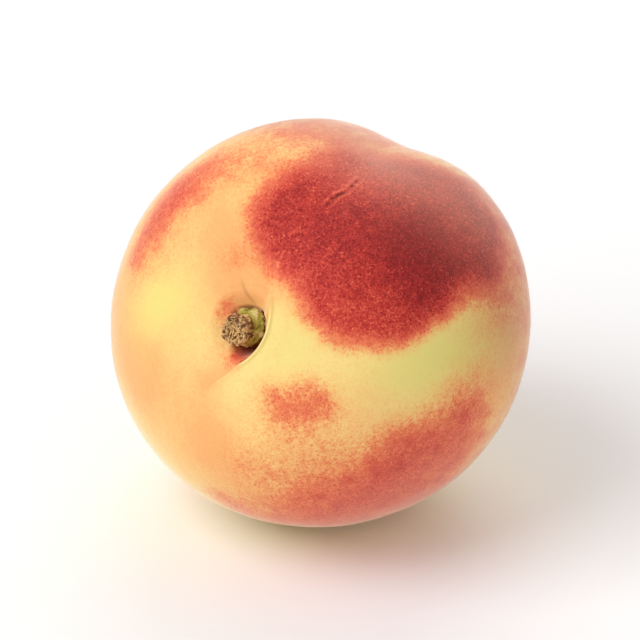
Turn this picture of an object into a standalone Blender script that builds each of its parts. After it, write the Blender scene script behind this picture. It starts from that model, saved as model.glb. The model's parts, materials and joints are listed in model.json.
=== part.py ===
"""A ripe peach that rests on its cheek, with the woody stub of its stem still in the cavity.

Units are metres and +Z is up. The origin lies in the small flat that the fruit rests on, below the
middle of its box. Both pieces are shaped in the fruit's own axes, with the stem end up (+Z) and the
suture towards +X, and one empty turns and lifts them to the way the fruit lies.
"""

import math

import bmesh
import bpy
from mathutils import Matrix, Vector

# How the fruit lies
AXIS_RISE = math.radians(25.0)          # stem end above the horizon
AXIS_BEARING = math.radians(29.0)       # stem end turned from -Y towards -X
SUTURE_ROLL = math.radians(-18.5)       # suture turned about the stem axis from straight up
REST_DEPTH = 0.0007                     # how far the skin gives where it carries the fruit

# Body of the fruit
CHEEK_RADIUS = 0.0374
SHOULDER_HEIGHT = 0.0345                # above the widest ring, before the cavity is pressed in
TIP_HEIGHT = 0.0352                     # below the widest ring
SHOULDER_FULLNESS = 2.25                # exponent of the outline: 2 is an ellipse, more is squarer
TIP_FULLNESS = 2.0
TAPER = 0.035                           # wider towards the shoulders, slimmer towards the tip
CHEEK_LUMP = 0.016                      # the two cheeks stand out by this share of the radius
CHEEK_LUMP_AZIMUTH = math.radians(-47.0)
THREE_LOBE_LUMP = 0.005
THREE_LOBE_AZIMUTH = math.radians(35.0)
FULL_CHEEK_RISE = 0.0011                # the right cheek is fuller beside the suture
FULL_CHEEK_AZIMUTH = math.radians(-27.0)
FULL_CHEEK_HALF_WIDTH = math.radians(26.0)

# Suture: a broad valley with a narrow crease in it
VALLEY_DEPTH = 0.0020
VALLEY_HALF_WIDTH = 0.0088
VALLEY_OFFSET = 0.0012                  # the valley lies a little to the left cheek's side
VALLEY_END_SHARE = 0.5                  # its depth at both ends, as a share of that at the crown
CREASE_DEPTH = 0.00015
CREASE_HALF_WIDTH = 0.0019
SUTURE_START = 0.010                    # distance from the axis where the suture is fully formed
SUTURE_DRIFT = 0.0046                   # the suture wanders off the middle plane behind the crown
SUTURE_DRIFT_POLAR = math.radians(104.0)
SUTURE_DRIFT_HALF_WIDTH = math.radians(36.0)

# Stem cavity
FLOOR_RADIUS = 0.0036
FLOOR_HEIGHT = 0.0270                   # above the widest ring
LIP_ALONG_SUTURE = 0.0085               # the lip's distance from the axis along the suture
LIP_STEEP_SIDE = 0.0046                 # on the side where the cheek folds over it
LIP_GENTLE_SIDE = 0.0076
BOWL_DEPTH = 0.0017                     # soft dip of the shoulders towards the lip
BOWL_HALF_WIDTH = 0.0140
FOLD_RISE = 0.0010                      # how far the steep side stands above the gentle side
FOLD_HALF_LENGTH = 0.0130
FOLD_HALF_WIDTH = 0.0095
FOLD_EDGE = 0.0014
GENTLE_WALL = 13.0                      # exponent of the wall's outline: more is a narrower pit
STEEP_WALL = 2.0
STEEP_SIDE_FOCUS = 1.2                  # exponent: more keeps the steep wall to a narrower side
STEEP_WALL_BULGE = 2.0                  # how far the steep wall stays low before it turns up to the lip

# Dimple at the blossom end
DIMPLE_DEPTH = 0.0026
DIMPLE_ALONG_SUTURE = 0.0068
DIMPLE_ACROSS = 0.0045
SCAR_RISE = 0.0008
SCAR_RADIUS = 0.0014

# Stub of the stem
STEM_LENGTH = 0.0065
STEM_BASE_RADIUS = 0.0030
STEM_RADIUS = 0.00275
STEM_FLARE = 0.16                       # share of the length that the flared foot takes
STEM_OFFSET = 0.0005                    # the foot's distance from the axis, towards the suture
STEM_LEAN = 0.0016                      # sideways reach of the end
STEM_LEAN_AZIMUTH = math.radians(160.0)
STEM_LEAN_CURVE = 1.5                   # exponent: 1 is a straight stub, more bends it towards its end
STEM_END_SLANT = 0.0005
STEM_END_SLANT_CURVE = 4.0              # exponent: more keeps the slant close to the end
STEM_RIDGES = 5
STEM_RIDGE_HEIGHT = 0.05                # share of the radius
FIT_GAP = 0.0003                        # between the stem's foot and the cavity floor

# Fineness of the meshes
SHARP_EDGE = math.radians(50.0)
FRUIT_SEGMENTS = 72
FLOOR_RINGS = 3
WALL_RINGS = 9
BODY_RINGS = 36
SUTURE_CROWDING = 0.5                   # draws the segments together at the suture
END_CROWDING = 0.55                     # draws the rings together at both ends
STEM_SEGMENTS = 20
STEM_RINGS = 10


def remove_all_objects():
    """Empty the scene of whatever it starts with."""
    for old in list(bpy.data.objects):
        bpy.data.objects.remove(old, do_unlink=True)


def smooth_step(value, low, high):
    """Rise smoothly from 0 at low to 1 at high."""
    share = min(max((value - low) / (high - low), 0.0), 1.0)
    return share * share * (3.0 - 2.0 * share)


def bell(value, half_width):
    """A bell curve that is 1 in its middle."""
    return math.exp(-((value / half_width) ** 2))


def outline_point(polar):
    """Distance from the axis and height of the plain outline, at an angle from the stem axis."""
    above = math.cos(polar) > 0.0
    height = SHOULDER_HEIGHT if above else TIP_HEIGHT
    fullness = SHOULDER_FULLNESS if above else TIP_FULLNESS
    across = (abs(math.sin(polar)) / CHEEK_RADIUS) ** fullness
    along = (abs(math.cos(polar)) / height) ** fullness
    distance = (across + along) ** (-1.0 / fullness)
    return distance * math.sin(polar), distance * math.cos(polar)


def shoulder_height(reach):
    """Height of the plain outline's upper half at a distance from the axis."""
    share = (reach / CHEEK_RADIUS) ** SHOULDER_FULLNESS
    return SHOULDER_HEIGHT * (1.0 - share) ** (1.0 / SHOULDER_FULLNESS)


def lip_reach(azimuth):
    """Distance from the axis to the cavity's lip: long along the suture, short on the steep side."""
    half_width = LIP_GENTLE_SIDE if math.sin(azimuth) > 0.0 else LIP_STEEP_SIDE
    along = math.cos(azimuth) / LIP_ALONG_SUTURE
    across = math.sin(azimuth) / half_width
    return 1.0 / math.hypot(along, across)


def plain_place(ring, azimuth):
    """Place of a ring's point on the plain body, and how far up the cavity wall it stands, 0 to 1."""
    lip = lip_reach(azimuth)
    if ring <= FLOOR_RINGS:
        reach = FLOOR_RADIUS * ring / FLOOR_RINGS
        return reach, shoulder_height(reach), 0.0
    if ring <= FLOOR_RINGS + WALL_RINGS:
        climb = (ring - FLOOR_RINGS) / WALL_RINGS
        reach = FLOOR_RADIUS + climb * (lip - FLOOR_RADIUS)
        return reach, shoulder_height(reach), climb
    share = (ring - FLOOR_RINGS - WALL_RINGS) / BODY_RINGS
    share -= END_CROWDING * math.sin(2.0 * math.pi * share) / (2.0 * math.pi)
    lip_polar = math.atan2(lip, shoulder_height(lip))
    reach, height = outline_point(lip_polar + (math.pi - lip_polar) * share)
    return reach, height, 1.0


def cheek_scale(polar, azimuth):
    """How much the body is widened or narrowed by its taper and its lumps."""
    two_lobes = CHEEK_LUMP * math.cos(2.0 * (azimuth - CHEEK_LUMP_AZIMUTH))
    three_lobes = THREE_LOBE_LUMP * math.cos(3.0 * (azimuth - THREE_LOBE_AZIMUTH))
    full_cheek = FULL_CHEEK_RISE / CHEEK_RADIUS * bell(azimuth - FULL_CHEEK_AZIMUTH, FULL_CHEEK_HALF_WIDTH)
    lumps = two_lobes + three_lobes + full_cheek
    return 1.0 + (TAPER * math.cos(polar) + lumps) * math.sin(polar) ** 2


def suture_depth(point, polar):
    """How deep the suture lies below the plain skin at a point."""
    formed = smooth_step(point.x, 0.0, SUTURE_START)
    fullness = VALLEY_END_SHARE + (1.0 - VALLEY_END_SHARE) * math.sin(polar) ** 2
    aside = point.y - SUTURE_DRIFT * bell(polar - SUTURE_DRIFT_POLAR, SUTURE_DRIFT_HALF_WIDTH)
    valley = VALLEY_DEPTH * fullness * bell(aside - VALLEY_OFFSET, VALLEY_HALF_WIDTH)
    crease = CREASE_DEPTH * bell(aside, CREASE_HALF_WIDTH)
    return formed * (valley + crease)


def cavity_drop(point, azimuth, climb):
    """How far the stem cavity lowers a point of the upper half."""
    reach = math.hypot(point.x, point.y)
    near_fold = bell(point.x, FOLD_HALF_LENGTH) * bell(point.y, FOLD_HALF_WIDTH)
    fold = FOLD_RISE * math.tanh(point.y / FOLD_EDGE) * near_fold
    bowl = BOWL_DEPTH * bell(reach, BOWL_HALF_WIDTH) + fold
    steepness = (0.5 - 0.5 * math.sin(azimuth)) ** STEEP_SIDE_FOCUS
    wall = GENTLE_WALL + (STEEP_WALL - GENTLE_WALL) * steepness
    openness = (1.0 - climb) ** wall * (1.0 + STEEP_WALL_BULGE * climb * steepness)
    return bowl + (point.z - bowl - FLOOR_HEIGHT) * openness


def dimple_rise(point):
    """How far the dimple at the blossom end lifts a point of the lower half."""
    along = bell(point.x, DIMPLE_ALONG_SUTURE)
    across = bell(point.y, DIMPLE_ACROSS)
    scar = SCAR_RISE * bell(math.hypot(point.x, point.y), SCAR_RADIUS)
    return DIMPLE_DEPTH * along * across - scar


def skin_point(ring, azimuth):
    """The finished place of one point of the fruit's skin, in the fruit's own axes."""
    reach, height, climb = plain_place(ring, azimuth)
    polar = math.atan2(reach, height)
    reach *= cheek_scale(polar, azimuth)
    point = Vector((reach * math.cos(azimuth), reach * math.sin(azimuth), height))
    if climb == 1.0:
        point -= point.normalized() * suture_depth(point, polar)
    if height > 0.0:
        point.z -= cavity_drop(point, azimuth, climb)
    else:
        point.z += dimple_rise(point)
    return point


def pose_axes():
    """Turn from the fruit's own axes to the world's."""
    level = math.cos(AXIS_RISE)
    axis = Vector((-level * math.sin(AXIS_BEARING), -level * math.cos(AXIS_BEARING), math.sin(AXIS_RISE)))
    up = (Vector((0.0, 0.0, 1.0)) - axis * axis.z).normalized()
    side = axis.cross(up)
    suture = up * math.cos(SUTURE_ROLL) + side * math.sin(SUTURE_ROLL)
    return Matrix((suture, axis.cross(suture), axis)).transposed()


def shape_skin(mesh):
    """Move the points of a unit sphere to the fruit's skin."""
    rings = FLOOR_RINGS + WALL_RINGS + BODY_RINGS
    for vertex in mesh.vertices:
        ring = math.acos(min(max(vertex.co.z, -1.0), 1.0)) / math.pi * rings
        turn = math.atan2(vertex.co.y, vertex.co.x)
        vertex.co = skin_point(ring, turn - SUTURE_CROWDING * math.sin(turn))


def press_rest_spot(mesh, down):
    """Cut the skin flat where it carries the fruit, and return that flat's distance from the middle."""
    flat = max(vertex.co.dot(down) for vertex in mesh.vertices) - REST_DEPTH
    work = bmesh.new()
    work.from_mesh(mesh)
    everything = work.verts[:] + work.edges[:] + work.faces[:]
    bmesh.ops.bisect_plane(work, geom=everything, plane_co=down * flat, plane_no=down, clear_outer=True)
    rim = [edge for edge in work.edges if edge.is_boundary]
    bmesh.ops.holes_fill(work, edges=rim, sides=0)
    bmesh.ops.recalc_face_normals(work, faces=work.faces[:])
    work.to_mesh(mesh)
    work.free()
    return flat


def plain_material(name, color, roughness):
    """A one-colour material for the structure view."""
    material = bpy.data.materials.new(name)
    material.use_nodes = True
    shader = material.node_tree.nodes["Principled BSDF"]
    shader.inputs["Base Color"].default_value = (*color, 1.0)
    shader.inputs["Roughness"].default_value = roughness
    shader.inputs["Metallic"].default_value = 0.0
    material.diffuse_color = (*color, 1.0)
    return material


def make_fruit(collection, turn):
    """Skin, flesh and stone in one piece. Returns the piece and its flat's distance from the middle."""
    rings = FLOOR_RINGS + WALL_RINGS + BODY_RINGS
    bpy.ops.mesh.primitive_uv_sphere_add(segments=FRUIT_SEGMENTS, ring_count=rings, radius=1.0)
    fruit = bpy.context.object
    fruit.name = "fruit"
    fruit.data.name = "fruit"
    shape_skin(fruit.data)
    flat = press_rest_spot(fruit.data, turn.transposed() @ Vector((0.0, 0.0, -1.0)))
    fruit.data.shade_smooth()
    fruit.data.set_sharp_from_angle(angle=SHARP_EDGE)
    fruit.data.materials.append(plain_material("peach_skin", (0.82, 0.36, 0.16), 0.75))
    move_to(fruit, collection)
    return fruit, flat


def stem_radius(share, azimuth):
    """Radius of the stub at a share of its length: a flared foot, and ridges that grow to the end."""
    flare = (STEM_BASE_RADIUS - STEM_RADIUS) * bell(share, STEM_FLARE)
    ridge = 1.0 + STEM_RIDGE_HEIGHT * share * math.cos(STEM_RIDGES * azimuth)
    return (STEM_RADIUS + flare) * ridge


def make_stem(collection):
    """The stub of the stem, from its foot on the cavity floor to its torn end."""
    work = bmesh.new()
    half = STEM_LENGTH / 2.0
    bmesh.ops.create_cone(work, cap_ends=True, segments=STEM_SEGMENTS, radius1=1.0, radius2=1.0,
                          depth=STEM_LENGTH, matrix=Matrix.Translation((0.0, 0.0, half)))
    for ring in range(1, STEM_RINGS):
        everything = work.verts[:] + work.edges[:] + work.faces[:]
        height = STEM_LENGTH * ring / STEM_RINGS
        bmesh.ops.bisect_plane(work, geom=everything, plane_co=(0.0, 0.0, height), plane_no=(0.0, 0.0, 1.0))
    lean = Vector((math.cos(STEM_LEAN_AZIMUTH), math.sin(STEM_LEAN_AZIMUTH), 0.0))
    for vertex in work.verts:
        share = vertex.co.z / STEM_LENGTH
        azimuth = math.atan2(vertex.co.y, vertex.co.x)
        radius = stem_radius(share, azimuth)
        slant = STEM_END_SLANT * share ** STEM_END_SLANT_CURVE * math.cos(azimuth - STEM_LEAN_AZIMUTH)
        place = Vector((radius * math.cos(azimuth), radius * math.sin(azimuth), vertex.co.z - slant))
        vertex.co = place + lean * STEM_LEAN * share ** STEM_LEAN_CURVE
    bmesh.ops.translate(work, verts=work.verts[:], vec=(STEM_OFFSET, 0.0, FLOOR_HEIGHT + FIT_GAP))
    mesh = bpy.data.meshes.new("stem")
    work.to_mesh(mesh)
    work.free()
    stem = bpy.data.objects.new("stem", mesh)
    collection.objects.link(stem)
    mesh.shade_smooth()
    mesh.set_sharp_from_angle(angle=SHARP_EDGE)
    mesh.materials.append(plain_material("stem_wood", (0.24, 0.20, 0.07), 0.85))
    return stem


def move_to(thing, collection):
    """Put an object in one collection only."""
    for old in list(thing.users_collection):
        old.objects.unlink(thing)
    collection.objects.link(thing)


def lay_down(collection, pieces, fruit, turn, flat):
    """Turn the pieces to their pose, with the flat on the floor and the box's middle over the origin."""
    turned = [turn @ vertex.co for vertex in fruit.data.vertices]
    middle_x = (min(point.x for point in turned) + max(point.x for point in turned)) / 2.0
    middle_y = (min(point.y for point in turned) + max(point.y for point in turned)) / 2.0
    rest = bpy.data.objects.new("rest", None)
    rest.empty_display_size = CHEEK_RADIUS
    rest.matrix_world = Matrix.Translation((-middle_x, -middle_y, flat)) @ turn.to_4x4()
    collection.objects.link(rest)
    for piece in pieces:
        piece.parent = rest


def main():
    """Model the peach."""
    remove_all_objects()
    collection = bpy.data.collections.new("peach")
    bpy.context.scene.collection.children.link(collection)
    turn = pose_axes()
    fruit, flat = make_fruit(collection, turn)
    stem = make_stem(collection)
    lay_down(collection, [fruit, stem], fruit, turn, flat)
    bpy.context.view_layer.update()


main()
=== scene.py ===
"""Skin, fuzz, stem and studio of a ripe peach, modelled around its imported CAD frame.

Units are metres. The fruit's own axes have the stem end up (+Z) and the suture towards +X, and
fruit_matrix() lays them down the way the fruit rests. Places on the skin are given as two angles in
those axes: polar, away from the stem, and azimuth, away from the suture.
"""

import json
import math
import random

import bpy
import numpy as np
from bpy.props import FloatProperty, FloatVectorProperty, IntProperty, PointerProperty
from mathutils import Matrix, Vector, noise

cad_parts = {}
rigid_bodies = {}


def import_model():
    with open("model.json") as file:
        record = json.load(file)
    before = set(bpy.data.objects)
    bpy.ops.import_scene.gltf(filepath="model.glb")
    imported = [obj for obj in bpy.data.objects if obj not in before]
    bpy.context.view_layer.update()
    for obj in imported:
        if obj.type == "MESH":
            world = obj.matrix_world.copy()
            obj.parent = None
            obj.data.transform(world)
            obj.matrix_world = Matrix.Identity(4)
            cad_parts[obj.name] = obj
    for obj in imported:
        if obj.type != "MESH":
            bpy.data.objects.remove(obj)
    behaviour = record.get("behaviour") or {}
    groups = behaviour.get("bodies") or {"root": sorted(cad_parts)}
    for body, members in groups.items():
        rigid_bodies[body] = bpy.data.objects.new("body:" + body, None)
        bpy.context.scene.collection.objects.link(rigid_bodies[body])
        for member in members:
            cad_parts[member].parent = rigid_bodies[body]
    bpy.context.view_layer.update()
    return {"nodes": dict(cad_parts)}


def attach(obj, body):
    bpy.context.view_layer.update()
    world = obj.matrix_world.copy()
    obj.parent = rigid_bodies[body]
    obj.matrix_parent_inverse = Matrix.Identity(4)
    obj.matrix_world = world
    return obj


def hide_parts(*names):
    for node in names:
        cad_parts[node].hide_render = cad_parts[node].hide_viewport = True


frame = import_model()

bl_info = {
    "name": "Ripe peach",
    "version": (1, 0, 0),
    "blender": (4, 5, 0),
    "location": "3D View > Sidebar > Peach",
    "description": "Finishes a peach around its CAD frame: blushed velvet skin, torn stem stub and studio",
    "category": "Object",
}

MM = 0.001

# How the fruit lies, as in the CAD source
AXIS_RISE = math.radians(25.0)
AXIS_BEARING = math.radians(29.0)
SUTURE_ROLL = math.radians(-18.5)
FRUIT_MIDDLE = Vector((0.000663, 0.000631, 0.035586))
SKIN_RADIUS = 0.037  # mean radius, for sizes measured along the skin

# The main blush: its outline as polar and azimuth in degrees, clockwise from beside the crown
BLUSH_MIDDLE = (50, -20)
BLUSH_OUTLINE = (
    (59, 15), (51, 20.5), (44, 25), (38, 28.5), (31, 28.5), (26, 23), (21, 13), (18.3, -5), (19.6, -26),
    (21, -46), (25.6, -60), (31.2, -65), (37, -66.5), (42, -67.5), (47, -64.5), (52, -59.5), (57, -53.5),
    (62, -48.5), (68, -45.5), (76, -45), (84, -41), (89, -30), (86, -16), (77, -4), (69, 6), (64, 13),
)
BLUSH_EDGE = (-4.0, 4.6)  # mm across which the blush fades, outside and inside the line
BLUSH_LEVEL = 0.60
BLUSH_LIMIT = 1.1

# Layers of noise: size of their swells in mm, seed and share
PATCH_WAVER = ((9.0, 11, 1.0), (3.0, 14, 0.4))
PATCH_WAVER_REACH = 1.6  # mm by which the patches' edges waver
SKIN_SWELLS = ((11.0, 3, 1.0), (4.5, 4, 0.45), (1.6, 5, 0.14))
SWELL_START = (0.0005, 0.004)  # heights in m between which the swells set in above the flat
STREAKS = ((1.0, 21, 1.0), (1.0 / 2.3, 22, 0.6))
STREAK_CROWDING = 14.0  # more gives slimmer streaks
STREAK_STRETCH = 0.09  # less gives longer ones
STREAK_LEVEL = 0.5  # their mean share of the strength of the patch they lie in
NOISE_STEP = Vector((17.3, 5.1, 9.7))  # how far apart the noise of two seeds lies
TINY = 1e-9

# Soft oval patches: polar, azimuth, half length towards the tip and half width in mm, strength
RED_PATCHES = {
    "dark core": (54, -36, 9, 9, 0.31),
    "dark towards the tip": (64, -38, 8, 7, 0.10),
    "dark by the suture": (44, -12, 9, 8, 0.16),
    "dusky red by the crown": (66, -13, 6, 8, 0.07),
    "bright low cheek": (41, -48, 8, 10, -0.10),
    "left end of the blush": (33, 16, 7, 8, 0.04),
    "salmon over the crown": (74, 10, 9, 18, 0.17),
    "crown, in front": (64, 21, 5, 8, 0.20),
    "faded edge at the crown": (60, 0, 7, 12, -0.15),
    "faded edge at the right": (78, -22, 8, 12, -0.12),
    "crown, left": (60, 34, 9, 9, 0.02),
    "crown, left end": (50, 28, 5, 5, 0.11),
    "crown's back, left": (74, 42, 9, 16, 0.09),
    "far right": (96, -30, 9, 12, 0.25),
    "right edge": (92, -54, 9, 8, 0.08),
    "right end of the blush": (78, -46, 6, 5, 0.26),
    "beyond the right end": (74, -57, 6, 6, 0.09),
    "upper side of the cavity": (8.2, 74, 2.6, 4.0, 0.28),
    "left side of the cavity": (10, 150, 3, 4, 0.10),
    # The next three are partly blush, partly painted shade in the cavity, under the fold and along the valley
    # below it
    "shade on the cavity's lower side": (7.2, -154, 2.3, 2.4, 0.28),
    "shade under the fold": (6.5, -112, 2.5, 3.5, 0.34),
    "shade along the valley below the cavity": (14, 178, 7, 2.2, 0.07),
    "left of the blush": (22, 36, 5, 5, 0.14),
    "over the cavity": (21, 54, 4, 5, 0.08),
    "left shoulder, high": (55, 52, 5, 8, 0.17),
    "left shoulder, middle": (51, 68, 6, 7, 0.22),
    "left shoulder, low": (50, 82, 6, 7, 0.18),
    "left shoulder, foot": (46, 95, 5, 5, 0.14),
    "left shoulder, inner": (43, 66, 6, 15, 0.13),
    "left shoulder, below": (33, 82, 6, 7, 0.08),
    "crown's left, inner": (47, 41, 7, 6, 0.05),
    "spot below the cavity": (28, -108, 5.5, 6.5, 0.20),
    "spot, right end": (33, -101, 4, 4.5, 0.10),
    "spot, left end": (23, -126, 4.5, 4.5, 0.18),
    "between spot and blush": (35, -82, 5, 8, 0.05),
    "below the spot": (42, -122, 9, 10, 0.135),
    "low left": (40, -153, 7, 7, 0.13),
    "low band, right": (60, -98, 7, 9, 0.26),
    "low band, right edge": (83, -98, 8, 9, 0.08),
    "low band, right end": (71, -82, 6.5, 8, 0.22),
    "low band, middle": (60, -118, 9, 10, 0.20),
    "low band, left end": (58, -145, 10, 10, 0.14),
    "low left rim": (62, -166, 7, 6, 0.16),
    "bottom rim": (68, -143, 8, 12, 0.20),
    "low band, under": (80, -112, 12, 18, 0.32),
    "tip dimple": (178, 0, 7, 7, 0.45),
    "behind the crown": (112, 20, 16, 18, 0.34),
    "behind the crown, left": (118, 62, 15, 14, 0.24),
    "sunny back": (138, -10, 16, 18, 0.30),
    "right back": (116, -70, 14, 16, 0.20),
    "under the left cheek": (98, 150, 12, 16, 0.16),
}
ORANGE_PATCHES = {
    "upper left": (46, 45, 12, 10, 0.40),
    "inner left": (23, 40, 8, 8, 0.80),
    "below the left edge": (36, 140, 9, 8, 0.40),
    "left edge": (50, 112, 13, 20, 0.75),
    "lower left, inner": (32, 160, 10, 12, 0.40),
    "over the cavity": (30, 60, 10, 14, 0.35),
    "left edge, low": (44, 150, 8, 8, 0.30),
    "lower left": (34, -166, 7, 6, 0.70),
    "near the stem": (12, 60, 6, 8, 0.50),
    "above the stem": (12, 5, 5, 6, 0.55),
    # The next two are painted shade under the fold and along the valley below it
    "shade under the fold": (6, -110, 3, 4, 0.60),
    "shade along the valley below the cavity": (18, 176, 7, 4, 0.50),
    "lip": (13, -35, 6, 3, 0.25),
    "lower left edge": (46, -168, 9, 10, 0.55),
    "foot of the blush": (24, -14, 7, 10, 0.55),
    "far right": (92, -62, 14, 12, 0.70),
    "right of the spot": (44, -90, 6, 7, 0.40),
    "low right edge": (78, -76, 8, 8, 0.55),
    "left back": (100, 95, 20, 20, 0.50),
    "back": (140, 60, 20, 20, 0.40),
    "under": (120, -130, 18, 20, 0.35),
}
GREEN_PATCHES = {
    "left": (29, 106, 8, 8, 0.80),
    "beside the fold": (17, -72, 7, 8, 0.45),
    "right band": (57, -69, 8, 7, 0.65),
    "right band, end": (72, -61, 9, 7, 0.60),
    "below the blush": (46, -78, 6, 6, 0.30),
    "left back": (84, 120, 12, 14, 0.50),
    "under": (138, -165, 14, 18, 0.55),
}
# Pale, greyed tone of the fuzz, laid mostly near the outline as painted sheen: polar, azimuth, half sizes in
# mm, strength
FUZZ_AND_SHEEN_PATCHES = {
    "crown, right": (67, -7, 9, 13, 0.40),
    "far right": (86, -24, 11, 11, 0.46),
    "crown, left": (72, 18, 8, 14, 0.72),
    "right edge": (90, -60, 9, 9, 0.30),
    "bottom": (72, -118, 9, 16, 0.30),
    "behind the crown": (110, 10, 16, 16, 0.30),
}
# Brown laid on the skin: at the right edge it is painted shade where the side turns away from the light, at
# the left edge a little russet
RUSSET_AND_SHADE_PATCHES = {
    "right edge": (84, -58, 11, 10, 0.23),
    "left edge": (44, 92, 5, 8, 0.05),
}
# Colours of the skin from the first tinge of red to the darkest blush: density, red, green and blue
SKIN_RAMP = (
    (0.04, (250, 192, 118)), (0.16, (247, 164, 100)), (0.28, (239, 132, 86)), (0.42, (222, 92, 68)),
    (0.58, (198, 58, 48)), (0.76, (166, 38, 36)), (1.00, (134, 22, 26)),
)
# Streaks that run from tip to stem end over the sides away from the cavity: middle, half sizes, strength
STREAK_PATCHES = {
    "sunny back": (128, 12, 26, 34, 0.34),
    "left back": (104, 92, 20, 24, 0.22),
    "under": (112, -128, 18, 26, 0.20),
}

# The crack in the suture: its middle's sideways place in mm at polar angles, where it begins and ends, and
# the middle and half length, in degrees, of the dashes where it gapes
CRACK_PATH = ((43.0, 47.8, 49.6, 51.4, 54.2, 58.0), (0.1, 0.15, -0.2, -0.6, -0.55, -0.35))
CRACK_WAVER = (0.06, 3.1)  # mm to each side, and turns in radians per degree
CRACK_ENDS = (43.5, 46.0, 56.0, 58.5)
CRACK_DASHES = ((45.0, 0.6), (49.4, 2.2), (54.1, 0.6), (56.2, 0.45))
CRACK_LIPS = (0.72, -0.9)
CRACK_REACH = 2.2  # mm on each side that are cut finer
# Depths and heights are shares of the crack depth, widths are in mm
GROOVE_DEPTH = 0.2
DASH_DEPTH = 0.6
GROOVE_WIDTH = 0.19
LIP_HEIGHT = 0.36
LIP_WIDTH = 0.3
# Colour of the dashes and the lips: widths in mm, and what they add to the blush and to the cork and shade
# The dashes' dark red and brown is painted shadow in the gaping crack
DASH_TINT_WIDTH = 0.22
DASH_SHADOW_RED = 0.4
DASH_SHADOW = 0.22
LIP_TINT_WIDTH = 0.28
LIP_PALENESS = 0.24
LIP_BREAKS = ((0.5, 27, 1.0),)
LIP_BREAK_RANGE = (-0.3, 0.3)
LIP_LEAST = 0.5
# The line of pale flecks that carries the suture on towards the cavity: sideways place in mm at polar angles
SEAM_PATH = ((22.0, 27.0, 31.0, 37.0, 43.0), (0.4, 1.2, 1.9, 0.6, -0.6))
SEAM_ENDS = (19.0, 23.0, 42.0, 45.0)
SEAM_WIDTH = 0.6
SEAM_PALENESS = 0.20
SEAM_BREAKS = ((0.8, 26, 1.0),)
SEAM_BREAK_RANGE = (-0.1, 0.4)

# Heights above the fruit's middle in mm: the stem end lies above the first, its shoulder above the second
STEM_END_LEVEL = 20.0
SHOULDER_LEVEL = 26.0

# The dish around the stem on the cavity's open side, in mm: height of its rim, where its wall begins and
# ends, and how deep it gets on the open side and towards the suture
DISH_TOP = 32.3
DISH_WALL = (3.3, 7.0)
DISH_DEPTHS = (0.9, 1.6)
DISH_DIP = 1.1  # how much lower its rim lies towards the suture
DISH_RIM = (5.8, 7.4)  # distances from the stem over which it runs out
DISH_STRETCH = 2.0  # how much farther that is towards the suture
DISH_START = 0.9  # distance from the fold over which it sets in
DISH_AZIMUTH = math.radians(83.0)  # its middle
DISH_SPAN = (-0.40, 0.10)  # cosines, seen from its middle, between which it ends
SUTURE_SIDE = math.radians(5.0)

# The crease above the stem and the fold that overhangs the cavity, as places in the fruit's own axes in mm
CREASE_LINE = ((7.4, 5.4), (6.4, 4.3), (5.3, 2.8), (4.6, 1.5), (4.3, 0.6))
# The crease is only painted, as a dark line of painted shade: its width in mm, and its strength
CREASE_WIDTH = 0.35
CREASE_SHADE = 0.28
FOLD_LINE = ((15.2, 4.0), (12.2, 2.1), (9.9, 0.4), (7.6, -1.7), (5.2, -3.5), (2.2, -4.6), (-0.6, -4.7),
             (-3.2, -4.1), (-5.3, -3.1), (-7.6, -2.2), (-11.7, -0.1), (-15.0, 1.1))
FOLD_BESIDE_STEM = (0.26, 0.42, 0.66, 0.78)  # shares of its length
FOLD_REACH = 1.2  # mm on each side that are cut finer
FOLD_LOWEST = 28.0
FOLD_RISE = (26.0, 29.5)  # heights between which it grows out of the skin
FOLD_TAPER = 0.6  # exponent: more gives slimmer ends
FOLD_STEP_EDGE = (-0.05, 0.3)  # distances on its low side over which the skin steps down
FOLD_STEP_FADE = 4.0  # and over which it comes up again
# Its raised lip and pinched foot: height in fold steps, what is added beside the stem, place, width in mm
FOLD_RIDGES = ((0.30, 0.40, 0.36, 0.30), (-0.08, -0.50, -0.22, 0.18))

# Colour around the fold and the cavity: a painted highlight on the fold's lip, painted shade on its low side,
# at its foot, on the cavity's wall and along the crease, and brown cork around the stem that is partly
# painted shade. Distances are in mm from the fold, positive on its high side
# Painted highlight on the fold's lip beside the stem, where blush and orange are left out: distances where it
# starts, is full, fades and ends
HIGHLIGHT_RIM = (-0.1, 0.25, 1.6, 4.0)
# Painted shade on the fold's low side, an orange tint that fades away from it
LOW_SIDE_SPAN = (0.55, 0.75, 0.90, 1.0)  # shares of the fold's length
LOW_SIDE_EDGE = (-0.3, 0.3)
LOW_SIDE_FADE = 2.2
LOW_SIDE_SHADE = 0.6
FOLD_FOOT = (-0.24, 0.16)  # place and width of the dark line of painted shade at the fold's foot
FOLD_FOOT_SHADE = 0.5
# Brown cork around the stem, darkest where the skin meets it, which is partly painted shade
CORK_OFFSET = 0.2  # from the stem's axis towards the suture
CORK_EDGE = (3.6, 4.3)  # distances from there over which the cork ends
CORK_RISE = (20.0, 24.0)
CORK_BREAKS = ((0.9, 25, 1.0),)
CORK_BREAK_RANGE = (-1.2, 0.0)
CORK_HIGH = 31.0  # above this height it is more broken, by the next number
CORK_HIGH_LOSS = 0.8
CORK_AND_SHADE_STRENGTH = 0.85
WALL_TOP = 32.8  # painted shade: the cavity's wall darkens below this, over the next number
WALL_FADE = 2.2
WALL_EDGE = (5.4, 6.2)
WALL_SIDE = (0.0, 0.5)  # sines of the azimuth between which the darker side sets in
WALL_SHADE = 0.3


def shade(red, green, blue):
    """A colour given in screen values of 0 to 255, as the shader's linear numbers."""
    screen = [value / 255.0 for value in (red, green, blue)]
    return tuple(v / 12.92 if v <= 0.04045 else ((v + 0.055) / 1.055) ** 2.4 for v in screen)


def color_setting(name, description, color):
    """A colour that the user can change."""
    return FloatVectorProperty(name=name, description=description, subtype="COLOR", min=0.0, max=1.0,
                               default=shade(*color))


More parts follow.
